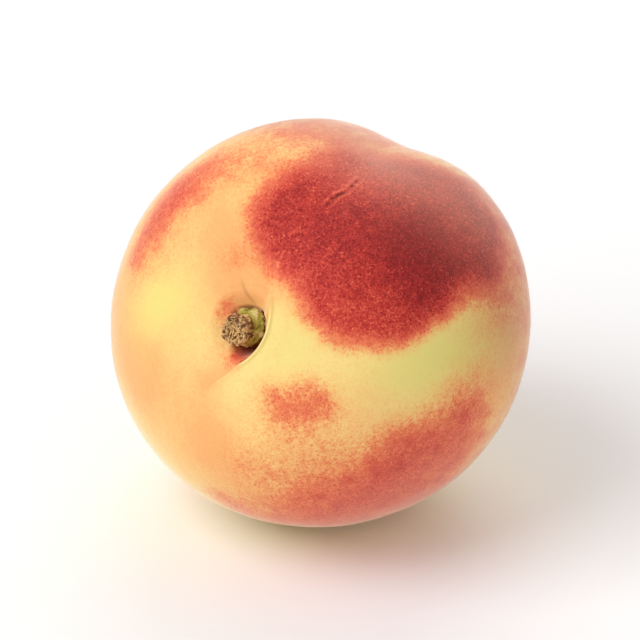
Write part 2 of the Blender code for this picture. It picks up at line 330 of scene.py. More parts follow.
def length_setting(name, description, size):
    """A length that the user can change."""
    return FloatProperty(name=name, description=description, unit="LENGTH", subtype="DISTANCE",
                         precision=5, min=0.0, default=size)


def power_setting(name, description, power):
    """The power of a light, in watts, that the user can change."""
    return FloatProperty(name=name, description=description, unit="POWER", min=0.0, default=power)


class PeachSkinSettings(bpy.types.PropertyGroup):
    """Shape and colours of the fruit's skin."""

    fold_step: length_setting("Fold step", "How far the fold stands above the cavity's open side", 0.0005)
    crack_depth: length_setting("Crack depth", "Depth of the fine crack in the suture", 0.0003)
    swell_height: length_setting("Swells", "Height of the skin's wide, shallow swells", 0.00014)
    grain_size: length_setting("Grain size", "Size of the stipple that breaks up the blush", 0.00085)
    ground: color_setting("Ground", "Yellow skin between the blushes", (253, 222, 142))
    orange: color_setting("Orange tint", "Warmer skin near the blushes", (250, 178, 112))
    green: color_setting("Green tint", "Skin that ripened in the shade", (230, 221, 126))
    # The fuzz's pale tone, which near the outline is painted sheen
    dusk: color_setting("Fuzz and sheen", "Greyed red where the fuzz is thick on the sunny cheek", (228, 174, 150))
    # Brown cork, also used for painted shade in the cavity, along the fold's foot and the crease, and in the
    # crack
    scar: color_setting("Cork and shade", "Brown skin around the stem and at the foot of the fold", (120, 66, 34))


class PeachFuzzSettings(bpy.types.PropertyGroup):
    """Number, size and colour of the hairs on the skin."""

    hairs: IntProperty(name="Hairs", description="Short hairs that stand on the skin", min=0, max=49000,
                       default=46000)
    longest: length_setting("Longest hair", "Length of the longest hairs", 0.00042)
    shortest: length_setting("Shortest hair", "Length of the shortest hairs", 0.0002)
    thickness: length_setting("Hair thickness", "Width of a hair at its foot", 0.000018)
    color: color_setting("Hair colour", "Pale, nearly clear hairs", (248, 206, 178))


class PeachStemSettings(bpy.types.PropertyGroup):
    """Shape and colours of the stem stub."""

    length: length_setting("Length", "From the foot on the cavity floor to the torn end", 0.0061)
    fibres: IntProperty(name="Fibres", description="Torn fibres on the end", min=1, max=200, default=90)
    green: color_setting("Green bark", "Bark that is still alive", (176, 166, 64))
    brown: color_setting("Brown bark", "Dried bark", (112, 68, 28))
    # The pale crests are partly a painted highlight on the wrinkles
    crest_highlight: color_setting("Crest highlights", "Pale crests of the bark's wrinkles", (238, 216, 156))
    wood: color_setting("Torn wood", "Fibres on the torn end", (222, 178, 116))
    # Also painted shade in the bark's hollows
    pith_and_shade: color_setting("Pith and shade", "Dark hollows between the fibres", (98, 48, 14))


class PeachStudioSettings(bpy.types.PropertyGroup):
    """Floor, lights and camera."""

    floor_size: length_setting("Floor size", "Side of the pale floor", 24.0)
    distance: length_setting("Camera distance", "From the camera to the fruit's middle", 0.8)
    elevation: FloatProperty(name="Camera elevation", description="Angle above the horizon",
                             subtype="ANGLE", unit="ROTATION", default=math.radians(30.0))
    key_power: power_setting("Key light", "Watts of the big soft light at the left", 9.6)
    back_power: power_setting("Back light", "Watts of the soft light above and behind", 3.5)
    fill_power: power_setting("Fill light", "Watts of the weak light at the right", 0.4)
    surround: FloatProperty(name="Surround", description="Strength of the white room", min=0.0, default=0.52)


def fruit_matrix():
    """From the fruit's own axes to the world's."""
    level = math.cos(AXIS_RISE)
    axis = Vector((-level * math.sin(AXIS_BEARING), -level * math.cos(AXIS_BEARING), math.sin(AXIS_RISE)))
    up = (Vector((0.0, 0.0, 1.0)) - axis * axis.z).normalized()
    suture = up * math.cos(SUTURE_ROLL) + axis.cross(up) * math.sin(SUTURE_ROLL)
    turn = Matrix((suture, axis.cross(suture), axis)).transposed()
    return Matrix.Translation(FRUIT_MIDDLE) @ turn.to_4x4()


def select_only(thing):
    """Make one object the selected and active one."""
    bpy.ops.object.select_all(action="DESELECT")
    thing.select_set(True)
    bpy.context.view_layer.objects.active = thing


def rename(thing, name):
    """Give an object and its mesh one name."""
    thing.name = name
    thing.data.name = name
    return thing


def dress(thing, material):
    """Smooth shading and a material for a piece."""
    thing.data.shade_smooth()
    thing.data.materials.append(material)


def rows_of(items, name, kind=float):
    """A property of three numbers of every item, as an array with a row for each."""
    flat = np.empty(len(items) * 3, kind)
    items.foreach_get(name, flat)
    return flat.reshape(-1, 3)


def places_of(thing):
    """The points of a mesh object as an array, in the fruit's own axes."""
    turn = np.array(fruit_matrix().inverted())
    return rows_of(thing.data.vertices, "co") @ turn[:3, :3].T + turn[:3, 3]


def set_places(thing, places):
    """Move the points of a mesh object to places in the fruit's own axes."""
    turn = np.array(fruit_matrix())
    thing.data.vertices.foreach_set("co", (places @ turn[:3, :3].T + turn[:3, 3]).ravel())
    thing.data.update()


def normals_of(thing):
    """The points' normals as an array, in the fruit's own axes."""
    return rows_of(thing.data.vertices, "normal") @ np.array(fruit_matrix())[:3, :3]


def smooth_step(value, low, high):
    """Rise smoothly from 0 at low to 1 at high."""
    share = np.clip((value - low) / (high - low), 0.0, 1.0)
    return share * share * (3.0 - 2.0 * share)


def plateau(value, start, full, fades, end):
    """Rise smoothly from 0 at start to 1, stay there, and fall back to 0 at end."""
    return smooth_step(value, start, full) * (1.0 - smooth_step(value, fades, end))


def bell(value, width):
    """A bell that is 1 at zero and fades over the given width."""
    return np.exp(-(value / width) ** 2)


def facing(polar, azimuth):
    """Unit directions outwards, towards the tip and sideways at a place on the skin."""
    p, a = math.radians(polar), math.radians(azimuth)
    out = np.array((math.sin(p) * math.cos(a), math.sin(p) * math.sin(a), math.cos(p)))
    down = np.array((math.cos(p) * math.cos(a), math.cos(p) * math.sin(a), -math.sin(p)))
    return out, down, np.array((-math.sin(a), math.cos(a), 0.0))


def patch_sum(directions, patches):
    """Sum of soft oval patches, each a bell that reaches its strength in its middle."""
    total = np.zeros(len(directions))
    for polar, azimuth, along, across, strength in patches.values():
        out, down, side = facing(polar, azimuth)
        offset = (directions - out) * SKIN_RADIUS / MM
        depth = offset @ out / (0.5 * (along + across))
        squares = (offset @ down / along) ** 2 + (offset @ side / across) ** 2 + depth ** 2
        total += strength * np.exp(-squares)
    return total


def flat_chart(directions, middle):
    """The skin spread out about a middle: mm towards the tip and mm sideways."""
    out, down, side = facing(*middle)
    a, b = directions @ down, directions @ side
    reach = np.arccos(np.clip(directions @ out, -1.0, 1.0)) / np.maximum(np.hypot(a, b), TINY)
    return np.stack((a * reach, b * reach), 1) * SKIN_RADIUS / MM


def rounded_line(corners, closed, steps=6):
    """A smooth line through the corners, after Catmull and Rom."""
    corners = np.array(corners, float)
    if closed:
        before, after, later = np.roll(corners, 1, 0), np.roll(corners, -1, 0), np.roll(corners, -2, 0)
        start = corners
    else:
        first, last = 2.0 * corners[:1] - corners[1:2], 2.0 * corners[-1:] - corners[-2:-1]
        padded = np.concatenate((first, corners, last))
        before, start, after, later = padded[:-3], padded[1:-2], padded[2:-1], padded[3:]
    line = []
    for t in np.arange(steps) / steps:
        bend = (2.0 * before - 5.0 * start + 4.0 * after - later) * t ** 2
        twist = (3.0 * start - before - 3.0 * after + later) * t ** 3
        line.append(0.5 * (2.0 * start + (after - before) * t + bend + twist))
    line = np.stack(line, 1).reshape(-1, 2)
    return line if closed else np.concatenate((line, corners[-1:]))


def stretch_distance(points, start, end):
    """Distance to a straight stretch, share of it where the nearest place lies, and side, 1 for left."""
    (x, y), (ex, ey) = (points - start).T, end - start
    share = np.clip((x * ex + y * ey) / max(ex * ex + ey * ey, TINY), 0.0, 1.0)
    return np.hypot(x - share * ex, y - share * ey), share, np.sign(ex * y - ey * x)


def distance_inside(points, outline):
    """Distance to a closed line, positive inside it."""
    best = np.full(len(points), np.inf)
    inside = np.zeros(len(points), bool)
    for start, end in zip(outline, np.roll(outline, -1, 0)):
        away, _, side = stretch_distance(points, start, end)
        best = np.minimum(best, away)
        crosses = (start[1] > points[:, 1]) != (end[1] > points[:, 1])
        inside ^= crosses & (side == np.sign(end[1] - start[1]))
    return np.where(inside, best, -best)


def line_distance(points, line):
    """Signed distance to an open line, positive on its left, and how far along it the nearest place lies."""
    best = np.full(len(points), np.inf)
    side = np.ones(len(points))
    where = np.zeros(len(points))
    for number, (start, end) in enumerate(zip(line[:-1], line[1:])):
        away, share, turned = stretch_distance(points, start, end)
        nearer = away < best
        best = np.where(nearer, away, best)
        side = np.where(nearer, turned, side)
        where = np.where(nearer, (number + share) / (len(line) - 1), where)
    return best * side, where


def noise_at(places, layers, step=0):
    """Sum of layers of smooth noise, each given by the size of its swells, its seed and its share."""
    total = np.zeros(len(places))
    for size, seed, share in layers:
        shift = (seed + step) * NOISE_STEP
        total += share * np.array([noise.noise(Vector(place) / size + shift) for place in places])
    return total


def store(thing, name, values):
    """Keep one number for each point of a mesh under a name that its material reads."""
    layer = thing.data.attributes.new(name, "FLOAT", "POINT")
    layer.data.foreach_set("value", np.asarray(values, np.float32))


# Materials


def add(tree, kind, sockets=None, **settings):
    """Add a node, and fill its inputs with numbers, colours or other nodes' outputs."""
    made = tree.nodes.new(kind)
    for name, value in settings.items():
        setattr(made, name, value)
    for name, value in (sockets or {}).items():
        if isinstance(value, bpy.types.NodeSocket):
            tree.links.new(value, made.inputs[name])
        else:
            made.inputs[name].default_value = value
    return made


def math_of(tree, operation, first, second):
    """Result of one sum on two numbers or outputs."""
    return add(tree, "ShaderNodeMath", {0: first, 1: second}, operation=operation).outputs[0]


def plus(tree, value, extra, share=1.0):
    """A value with a share of another added."""
    return math_of(tree, "ADD", value, math_of(tree, "MULTIPLY", extra, share))


def mixed(tree, share, first, second):
    """One colour laid over another."""
    made = add(tree, "ShaderNodeMix", {0: share}, data_type="RGBA")
    for socket, value in ((6, first), (7, second)):
        if isinstance(value, bpy.types.NodeSocket):
            tree.links.new(value, made.inputs[socket])
        else:
            made.inputs[socket].default_value = (*value, 1.0)
    return made.outputs[2]


def ranged(tree, value, low, high, start=0.0, end=1.0):
    """A value taken smoothly from one range to another."""
    made = add(tree, "ShaderNodeMapRange", {0: value, 1: low, 2: high, 3: start, 4: end},
               interpolation_type="SMOOTHSTEP")
    return made.outputs[0]


def ramp_of(tree, value, stops):
    """Colours in a row, picked by a value."""
    made = add(tree, "ShaderNodeValToRGB", {0: value})
    elements = made.color_ramp.elements
    while len(elements) < len(stops):
        elements.new(0.5)
    for element, (position, _) in zip(elements, stops):
        element.position = position
    for element, (_, color) in zip(elements, stops):
        element.color = (*shade(*color), 1.0)
    return made.outputs[0]


def attribute(tree, name):
    """A number that the mesh keeps for each of its points."""
    return add(tree, "ShaderNodeAttribute", attribute_name=name).outputs["Fac"]


def own_place(tree):
    """Place in the object's own axes, so that patterns keep to the piece."""
    return add(tree, "ShaderNodeTexCoord").outputs["Object"]


def noise_of(tree, place, scale, detail, roughness=0.5):
    """Smooth noise between about 0 and 1."""
    sockets = {"Vector": place, "Scale": scale, "Detail": detail, "Roughness": roughness}
    return add(tree, "ShaderNodeTexNoise", sockets).outputs[0]


GRAIN_LAYERS = ((1.0, 0.9), (2.7, 1.1))  # factor on the scale, and share
GRAIN_ROUGHNESS = 0.65
GRAIN_DOT_FACTOR = 1.3
GRAIN_DOTS = (0.5, 0.12, -0.06, 0.30)  # distances from a dot's middle, and what is added there


def grain_group():
    """Node group: fine stipple about zero, of flecks in two sizes and dots."""
    name = "Peach grain"
    if name in bpy.data.node_groups:
        return bpy.data.node_groups[name]
    tree = bpy.data.node_groups.new(name, "ShaderNodeTree")
    tree.interface.new_socket("Vector", in_out="INPUT", socket_type="NodeSocketVector")
    tree.interface.new_socket("Scale", in_out="INPUT", socket_type="NodeSocketFloat")
    tree.interface.new_socket("Grain", in_out="OUTPUT", socket_type="NodeSocketFloat")
    place, scale = add(tree, "NodeGroupInput").outputs[:2]
    dot_scale = math_of(tree, "MULTIPLY", scale, GRAIN_DOT_FACTOR)
    dots = add(tree, "ShaderNodeTexVoronoi", {"Vector": place, "Scale": dot_scale})
    total = ranged(tree, dots.outputs["Distance"], *GRAIN_DOTS)
    for factor, share in GRAIN_LAYERS:
        flecks = noise_of(tree, place, math_of(tree, "MULTIPLY", scale, factor), 2.0, GRAIN_ROUGHNESS)
        total = plus(tree, total, math_of(tree, "SUBTRACT", flecks, 0.5), share)
    add(tree, "NodeGroupOutput", {0: total})
    return tree


def grain_of(tree, scale):
    """Stipple from the shared node group."""
    made = add(tree, "ShaderNodeGroup", node_tree=grain_group())
    tree.links.new(own_place(tree), made.inputs[0])
    made.inputs[1].default_value = scale
    return made.outputs[0]


def new_material(name, fixed=None):
    """A node material, its node tree and its shader, with values set by socket name."""
    material = bpy.data.materials.new(name)
    material.use_nodes = True
    shader = material.node_tree.nodes["Principled BSDF"]
    for socket, value in (fixed or {}).items():
        shader.inputs[socket].default_value = value
    return material, material.node_tree, shader


def connect(tree, shader, color, roughness, normal=None):
    """Let nodes drive a shader's colour, roughness and normal."""
    tree.links.new(color, shader.inputs["Base Color"])
    tree.links.new(roughness, shader.inputs["Roughness"])
    if normal:
        tree.links.new(normal, shader.inputs["Normal"])


# How far the grain (twice), the blotches and the pale specks sway the density of red: from and to which
# blush, and the sway there
BLUSH_SWAYS = ((0.0, 0.3, 0.05, 0.23), (0.4, 0.75, 0.0, 0.36), (0.0, 0.4, 0.0, 0.16), (0.25, 0.6))
BLOTCH_FACTOR = 0.16  # on the grain's scale
BLOTCH_MOTTLE = 0.22  # how far the blotches sway the orange tint
GRAIN_MOTTLE = 0.42
SPECK_FACTOR = 2.2  # on the grain's scale
SPECKS = (0.46, 0.74, 0.04, -0.13)  # noise from and to, and density there
FIRST_RED = (0.0, 0.30)  # densities over which red takes the place of the ground
# how far the fuzz tone and painted sheen cover the colour
FUZZ_AND_SHEEN_SHARE = 0.6
SKIN_ROUGHNESS = (-0.6, 0.6, 0.56, 0.74)
NAP_SCALE = 3200.0
NAP_BUMP = {"Strength": 0.5, "Distance": 0.00006}
SKIN_SHADER = {
    "Specular IOR Level": 0.2,
    "Sheen Weight": 1.0, "Sheen Roughness": 0.3, "Sheen Tint": (1.0, 0.92, 0.84, 1.0),
    "Subsurface Weight": 0.12, "Subsurface Radius": (1.0, 0.45, 0.25), "Subsurface Scale": 0.0014,
}


def skin_material(settings):
    """Yellow skin with crimson blush, stipple, pale fuzz tone with painted sheen, brown cork with painted
    shade, and soft fuzz.
    """
    material, tree, shader = new_material("peach_skin", SKIN_SHADER)
    scale = 1.0 / settings.grain_size
    grain = grain_of(tree, scale)
    blotch = grain_of(tree, BLOTCH_FACTOR * scale)
    specks = ranged(tree, noise_of(tree, own_place(tree), SPECK_FACTOR * scale, 1.0), *SPECKS)
    blush = attribute(tree, "blush")
    density = blush
    for layer, limits in zip((grain, grain, blotch, specks), BLUSH_SWAYS):
        density = plus(tree, density, layer, ranged(tree, blush, *limits))
    orange = plus(tree, attribute(tree, "orange"), blotch, BLOTCH_MOTTLE)
    orange = plus(tree, orange, grain, GRAIN_MOTTLE)
    color = mixed(tree, orange, settings.ground, settings.orange)
    color = mixed(tree, attribute(tree, "green"), color, settings.green)
    color = mixed(tree, ranged(tree, density, *FIRST_RED), color, ramp_of(tree, density, SKIN_RAMP))
    # Pale fuzz tone with painted sheen
    dusk = math_of(tree, "MULTIPLY", attribute(tree, "dusk"), FUZZ_AND_SHEEN_SHARE)
    color = mixed(tree, dusk, color, settings.dusk)
    # Brown cork with painted shade in the cavity, along the fold and in the crack
    color = mixed(tree, attribute(tree, "scar"), color, settings.scar)
    nap = noise_of(tree, own_place(tree), NAP_SCALE, 2.0)
    bump = add(tree, "ShaderNodeBump", {"Height": nap, **NAP_BUMP}).outputs[0]
    connect(tree, shader, color, ranged(tree, grain, *SKIN_ROUGHNESS), bump)
    return material


BARK_GRAIN_SCALE = 1300.0
BARK_BLOTCH_SCALE = 450.0
FIBRE_GRAIN_SCALE = 1400.0
RELIEF_GRAIN = 0.5  # how far the grain breaks up the crests and hollows
TORN_BLOTCH = 0.6  # how far the blotches break up the torn end's edge
GREEN_BARK = (0.25, 0.7)
CREST_HIGHLIGHTS = (0.54, 0.80, 0.0, 0.80)  # relief from and to, and how far the crests' pale colour, a painted highlight, shows there
# relief from and to, and how far the dark colour shows there, painted shade in the hollows
HOLLOW_SHADE = (0.44, 0.18, 0.0, 0.85)
END_WOOD = (-0.20, 0.35)
TORN_EDGE = (0.3, 0.7)
BARK_ROUGHNESS = (-0.5, 0.5, 0.55, 0.9)
BARK_BUMP = {"Strength": 0.6, "Distance": 0.00015}
FIBRE_MOTTLE = 0.7
FIBRE_TIP = (0.05, 0.60)
FIBRE_ROUGHNESS = (-0.5, 0.5, 0.6, 0.9)


def bark_material(settings):
    """Green and brown bark with painted highlights on its crests, painted shade in its hollows, and a torn
    end.
    """
    material, tree, shader = new_material("stem_wood")
    grain = grain_of(tree, BARK_GRAIN_SCALE)
    blotch = grain_of(tree, BARK_BLOTCH_SCALE)
    living = plus(tree, attribute(tree, "living"), blotch)
    relief = plus(tree, attribute(tree, "relief"), grain, RELIEF_GRAIN)
    torn = plus(tree, attribute(tree, "torn"), blotch, TORN_BLOTCH)
    bark = mixed(tree, ranged(tree, living, *GREEN_BARK), settings.brown, settings.green)
    # Pale crests are painted highlight and dark hollows painted shade, both read from the relief
    bark = mixed(tree, ranged(tree, relief, *CREST_HIGHLIGHTS), bark, settings.crest_highlight)
    bark = mixed(tree, ranged(tree, relief, *HOLLOW_SHADE), bark, settings.pith_and_shade)
    end = mixed(tree, ranged(tree, plus(tree, grain, blotch), *END_WOOD), settings.pith_and_shade, settings.wood)
    color = mixed(tree, ranged(tree, torn, *TORN_EDGE), bark, end)
    bump = add(tree, "ShaderNodeBump", {"Height": grain, **BARK_BUMP}).outputs[0]
    connect(tree, shader, color, ranged(tree, grain, *BARK_ROUGHNESS), bump)
    return material


def fibre_material(settings):
    """Pale torn wood that darkens towards its roots."""
    material, tree, shader = new_material("torn_fibres")
    grain = grain_of(tree, FIBRE_GRAIN_SCALE)
    tip = plus(tree, attribute(tree, "torn"), grain, FIBRE_MOTTLE)
    color = mixed(tree, ranged(tree, tip, *FIBRE_TIP), settings.pith_and_shade, settings.wood)
    connect(tree, shader, color, ranged(tree, grain, *FIBRE_ROUGHNESS))
    return material


# Fruit


MERGE_DISTANCE = 0.00001
QUAD_FACE_ANGLE = math.radians(60.0)
QUAD_SHAPE_ANGLE = math.radians(80.0)
SMOOTH_LEVELS = 2
CRACK_CUTS = 3
FOLD_CUTS = 2


def mesh_copy(node, name):
    """A free copy of a CAD node's mesh, merged into quads."""
    select_only(frame["nodes"][node])
    bpy.ops.object.duplicate()
    copy = bpy.context.object
    bpy.ops.object.parent_clear(type="CLEAR_KEEP_TRANSFORM")
    for key in list(copy.keys()):
        del copy[key]
    copy.data.materials.clear()
    bpy.ops.object.mode_set(mode="EDIT")
    bpy.ops.mesh.select_all(action="SELECT")
    bpy.ops.mesh.remove_doubles(threshold=MERGE_DISTANCE)
    bpy.ops.mesh.tris_convert_to_quads(face_threshold=QUAD_FACE_ANGLE, shape_threshold=QUAD_SHAPE_ANGLE)
    bpy.ops.mesh.customdata_custom_splitnormals_clear()
    bpy.ops.object.mode_set(mode="OBJECT")
    return rename(copy, name)


def refine(thing):
    """Subdivide a mesh smoothly."""
    select_only(thing)
    modifier = thing.modifiers.new("rounding", "SUBSURF")
    modifier.levels = SMOOTH_LEVELS
    modifier.render_levels = SMOOTH_LEVELS
    bpy.ops.object.modifier_apply(modifier=modifier.name)


def divide_finer(fruit, near, cuts):
    """Cut the skin finer at the marked points, so that small forms get real depth and crisp edges."""
    bpy.ops.object.mode_set(mode="EDIT")
    bpy.ops.mesh.select_mode(type="VERT")
    bpy.ops.mesh.select_all(action="DESELECT")
    bpy.ops.object.mode_set(mode="OBJECT")
    for vertex, chosen in zip(fruit.data.vertices, near):
        vertex.select = bool(chosen)
    bpy.ops.object.mode_set(mode="EDIT")
    bpy.ops.mesh.subdivide(number_cuts=cuts)
    bpy.ops.object.mode_set(mode="OBJECT")


def polar_of(places):
    """Angle of each place from the stem's axis, in degrees."""
    return np.degrees(np.arccos(places[:, 2] / np.linalg.norm(places, axis=1)))


def crack_parts(places):
    """Distance in mm from the crack's wavering middle, how strong it runs there, and how much it gapes."""
    polar = polar_of(places)
    reach, turns = CRACK_WAVER
    aside = places[:, 1] - np.interp(polar, *CRACK_PATH) - reach * np.sin(polar * turns)
    suture_half = places[:, 0] > 0.0
    gape = sum(np.exp(-((polar - middle) / half) ** 4) for middle, half in CRACK_DASHES)
    return aside, plateau(polar, *CRACK_ENDS) * suture_half, gape * suture_half


def fold_parts(places):
    """Distance in mm from the fold, positive on its high side, share of its length, and how near the stem."""
    aside, where = line_distance(places[:, :2], rounded_line(FOLD_LINE, closed=False))
    return aside, where, plateau(where, *FOLD_BESIDE_STEM)


def near_crack(places):
    """Which points lie around the crack in the suture."""
    aside, run = crack_parts(places)[:2]
    return (np.abs(aside) < CRACK_REACH) & (run > 0.0)


def near_fold(places):
    """Which points lie around the fold."""
    return (np.abs(fold_parts(places)[0]) < FOLD_REACH) & (places[:, 2] > FOLD_LOWEST)


def fill_hollow(places):
    """Turn the cavity's steep wall, where no fold overhangs it, into a soft dish around the stem."""
    azimuth = np.arctan2(places[:, 1], places[:, 0])
    reach = np.hypot(places[:, 0], places[:, 1])
    open_depth, suture_depth = DISH_DEPTHS
    turned = np.maximum(np.cos(azimuth - SUTURE_SIDE), 0.0)
    depth = open_depth + (suture_depth - open_depth) * turned
    dish = DISH_TOP - DISH_DIP * turned ** 2 - depth * (1.0 - smooth_step(reach, *DISH_WALL))
    share = smooth_step(np.cos(azimuth - DISH_AZIMUTH), *DISH_SPAN)
    share *= smooth_step(-fold_parts(places)[0], 0.0, DISH_START)
    share *= (1.0 - smooth_step(reach - DISH_STRETCH * turned, *DISH_RIM)) * (places[:, 2] > STEM_END_LEVEL)
    moved = places.copy()
    moved[:, 2] += share * (dish - places[:, 2])
    return moved


def fold_lift(places):
    """How far the skin moves out or in along the fold: its open side steps down, its lip stands up."""
    aside, where, beside_stem = fold_parts(places)
    strength = smooth_step(places[:, 2], *FOLD_RISE) * np.sin(np.pi * np.clip(where, 0.0, 1.0)) ** FOLD_TAPER
    lift = -smooth_step(-aside, *FOLD_STEP_EDGE) * bell(aside, FOLD_STEP_FADE)
    for height, more, place, width in FOLD_RIDGES:
        lift += (height + more * beside_stem) * bell(aside - place, width)
    return strength * lift


def crack_lift(places):
    """Shape of the crack in the suture: a broken groove between two raised lips."""
    aside, run, gape = crack_parts(places)
    groove = (GROOVE_DEPTH * run + DASH_DEPTH * gape) * bell(aside, GROOVE_WIDTH)
    lips = sum(bell(aside - lip, LIP_WIDTH) for lip in CRACK_LIPS)
    return LIP_HEIGHT * run * lips - groove


def shape_skin(fruit, settings):
    """Add what the CAD skin leaves out: the fold's crisp edge, the crack in the suture and slight swells."""
    places = fill_hollow(places_of(fruit) / MM)
    set_places(fruit, places * MM)
    out = normals_of(fruit)
    lift = settings.fold_step / MM * fold_lift(places) + settings.crack_depth / MM * crack_lift(places)
    height = (places * MM) @ np.array(fruit_matrix())[2, :3] + FRUIT_MIDDLE.z
    lift += settings.swell_height / MM * noise_at(places, SKIN_SWELLS) * smooth_step(height, *SWELL_START)
    set_places(fruit, (places + out * lift[:, None]) * MM)


def wavered(places):
    """Directions of the points from the fruit's middle, wavering so that no patch has a clean edge."""
    waver = np.stack([noise_at(places, PATCH_WAVER, step) for step in range(3)], 1)
    moved = places + PATCH_WAVER_REACH * waver
    return moved / np.linalg.norm(moved, axis=1)[:, None]


def main_blush(directions):
    """The main blush, which fills its outline."""
    corners = np.array([facing(polar, azimuth)[0] for polar, azimuth in BLUSH_OUTLINE])
    outline = rounded_line(flat_chart(corners, BLUSH_MIDDLE), closed=True)
    inner = distance_inside(flat_chart(directions, BLUSH_MIDDLE), outline)
    return BLUSH_LEVEL * smooth_step(inner, *BLUSH_EDGE)


def streaks(places, directions):
    """Streaks from tip to stem end on the sides that look away from the cavity."""
    azimuth = np.arctan2(places[:, 1], places[:, 0])
    around = STREAK_CROWDING * np.stack((np.cos(azimuth), np.sin(azimuth)), 1)
    meridian = np.concatenate((around, STREAK_STRETCH * places[:, 2:]), 1)
    return patch_sum(directions, STREAK_PATCHES) * (STREAK_LEVEL + noise_at(meridian, STREAKS))


def suture_colors(places):
    """Where the crack gapes, for its painted shadow, and how much its lips and the line of flecks pale the
    blush.
    """
    aside, run, gape = crack_parts(places)
    lips = sum(bell(aside - lip, LIP_TINT_WIDTH) for lip in CRACK_LIPS)
    lips *= LIP_LEAST + (1.0 - LIP_LEAST) * smooth_step(noise_at(places, LIP_BREAKS), *LIP_BREAK_RANGE)
    polar = polar_of(places)
    seam = bell(places[:, 1] - np.interp(polar, *SEAM_PATH), SEAM_WIDTH) * (places[:, 0] > 0.0)
    seam *= plateau(polar, *SEAM_ENDS) * smooth_step(noise_at(places, SEAM_BREAKS), *SEAM_BREAK_RANGE)
    return gape * bell(aside, DASH_TINT_WIDTH), LIP_PALENESS * run * lips + SEAM_PALENESS * seam


def cavity_cork_and_shade(places):
    """Brown cork around the stem, partly painted shade where the skin meets it, and painted shade on the
    cavity's wall, at the fold's dark foot and along the crease.
    """
    shoulder = places[:, 2] > SHOULDER_LEVEL
    aside, _, beside_stem = fold_parts(places)
    place, width = FOLD_FOOT
    foot = bell(aside - place, width) * beside_stem * shoulder
    azimuth = np.arctan2(places[:, 1], places[:, 0])
    reach = np.hypot(places[:, 0] - CORK_OFFSET, places[:, 1])
    cork = (1.0 - smooth_step(reach, *CORK_EDGE)) * smooth_step(places[:, 2], *CORK_RISE)
    breaks = noise_at(places, CORK_BREAKS) - CORK_HIGH_LOSS * (places[:, 2] > CORK_HIGH)
    cork *= smooth_step(breaks, *CORK_BREAK_RANGE)
    wall = smooth_step(WALL_TOP - places[:, 2], 0.0, WALL_FADE) * (1.0 - smooth_step(reach, *WALL_EDGE))
    wall *= (places[:, 2] > STEM_END_LEVEL) * smooth_step(-np.sin(azimuth), *WALL_SIDE)
    crease, along = line_distance(places[:, :2], rounded_line(CREASE_LINE, closed=False))
    crease = bell(crease, CREASE_WIDTH) * np.sin(np.pi * along) * shoulder
    return FOLD_FOOT_SHADE * foot + CORK_AND_SHADE_STRENGTH * np.maximum(cork, WALL_SHADE * wall) + CREASE_SHADE * crease


def paint_skin(fruit):
    """Give the skin its blush, tints, fuzz tone with painted sheen, and cork with painted shade, as numbers
    kept at its points.
    """
    places = places_of(fruit) / MM
    directions = wavered(places)
    shoulder = places[:, 2] > SHOULDER_LEVEL
    aside, where, beside_stem = fold_parts(places)
    # Beside the stem the fold's lip loses its blush and orange: a painted highlight
    clean = 1.0 - beside_stem * plateau(aside, *HIGHLIGHT_RIM) * shoulder
    dashes, paleness = suture_colors(places)
    blush = main_blush(directions) + patch_sum(directions, RED_PATCHES) + streaks(places, directions)
    blush += DASH_SHADOW_RED * dashes - paleness
    # Painted shade on the fold's low side, as an orange tint
    shaded_low_side = np.exp(np.minimum(aside, 0.0) / LOW_SIDE_FADE) * smooth_step(-aside, *LOW_SIDE_EDGE)
    shaded_low_side *= plateau(where, *LOW_SIDE_SPAN) * shoulder
    orange = patch_sum(directions, ORANGE_PATCHES) * clean + LOW_SIDE_SHADE * shaded_low_side
    # Cork with painted shade around the cavity, painted shadow in the crack, and russet and painted shade
    # from the patches
    scar = cavity_cork_and_shade(places) + DASH_SHADOW * dashes + patch_sum(directions, RUSSET_AND_SHADE_PATCHES)
    store(fruit, "blush", np.clip(blush * clean, 0.0, BLUSH_LIMIT))
    store(fruit, "orange", np.clip(orange, 0.0, 1.0))
    store(fruit, "green", np.clip(patch_sum(directions, GREEN_PATCHES), 0.0, 1.0))
    store(fruit, "dusk", np.clip(patch_sum(directions, FUZZ_AND_SHEEN_PATCHES), 0.0, 1.0))
    store(fruit, "scar", np.clip(scar, 0.0, 1.0))


class PEACH_OT_fruit(bpy.types.Operator):
    """Model the fruit's skin with its fold, crack and blush"""

    bl_idname = "peach.fruit"
    bl_label = "Fruit"

    def execute(self, context):
        settings = context.scene.peach_skin
        fruit = mesh_copy("fruit", "fruit_skin")
        refine(fruit)
        divide_finer(fruit, near_crack(places_of(fruit) / MM), CRACK_CUTS)
        divide_finer(fruit, near_fold(places_of(fruit) / MM), FOLD_CUTS)
        shape_skin(fruit, settings)
        paint_skin(fruit)
        dress(fruit, skin_material(settings))
        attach(fruit, "root")
        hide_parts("fruit")
        return {"FINISHED"}


# Fuzz


FUZZ_SEED = 9
BARE_REACH = 6.5  # mm around the stem's axis, in the cavity
BARE_HEIGHT = 0.0004  # m above the floor, on the flat
HAIR_SPREAD = 0.55  # how far the hairs lean at random
HAIR_LOWEST = 0.35  # hairs that would lie lower on the skin stand straight
HAIR_ROUGHNESS = 0.6
HAIR_SIDES = 3
HAIR_FACES = ((0, 1, 3), (1, 2, 3), (2, 0, 3), (2, 1, 0))


def unit(rows):
    """Rows of vectors, each brought to length 1."""
    return rows / np.linalg.norm(rows, axis=1)[:, None]


